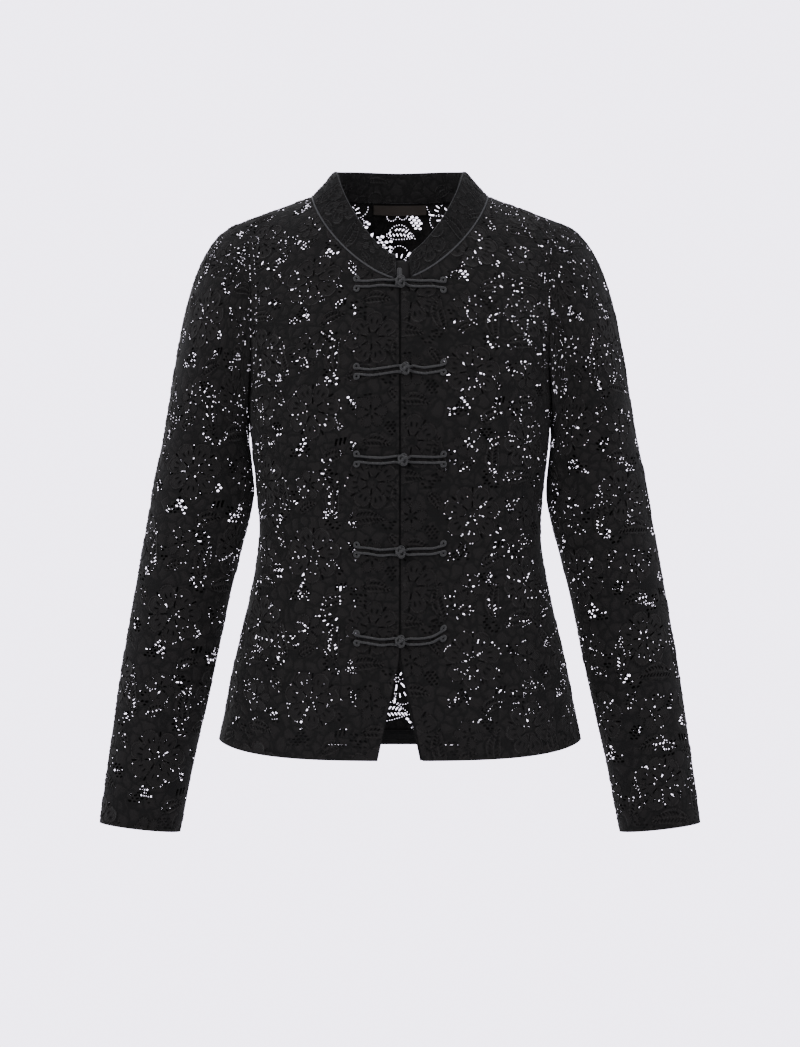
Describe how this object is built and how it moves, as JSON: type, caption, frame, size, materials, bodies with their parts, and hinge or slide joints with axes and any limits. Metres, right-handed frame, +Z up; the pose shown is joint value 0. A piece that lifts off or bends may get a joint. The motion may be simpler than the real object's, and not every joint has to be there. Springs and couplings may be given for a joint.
{
  "type": "mandarin collar shirt",
  "caption": "Long-sleeved lace shirt in its worn, hollow shape, with a standing collar, corded frog closures down the front, a centre slit at the hem and plain turned hems.",
  "frame": {"origin": "middle of the neck opening at the base of the wearer's neck", "axes": "+Z up along the wearer, the front faces -Y, the wearer's left is at +X"},
  "size_m": [0.6264, 0.2045, 0.6944],
  "materials": {
    "lace": "matte",
    "satin_cord": "satin",
    "label_satin": "satin"
  },
  "bodies": {
    "root": {"back": "lace", "front_right": "lace", "front_left": "lace", "sleeve_right_front": "lace", "sleeve_right_back": "lace", "sleeve_left_front": "lace", "sleeve_left_back": "lace", "collar": "lace", "collar_underlap": "lace", "facing_right": "lace", "facing_left": "lace", "neck_label": "label_satin", "frog_1_loop": "satin_cord", "frog_1_knot": "satin_cord", "frog_2_loop": "satin_cord", "frog_2_knot": "satin_cord", "frog_3_loop": "satin_cord", "frog_3_knot": "satin_cord", "frog_4_loop": "satin_cord", "frog_4_knot": "satin_cord", "frog_5_loop": "satin_cord", "frog_5_knot": "satin_cord"}
  },
  "joints": []
}
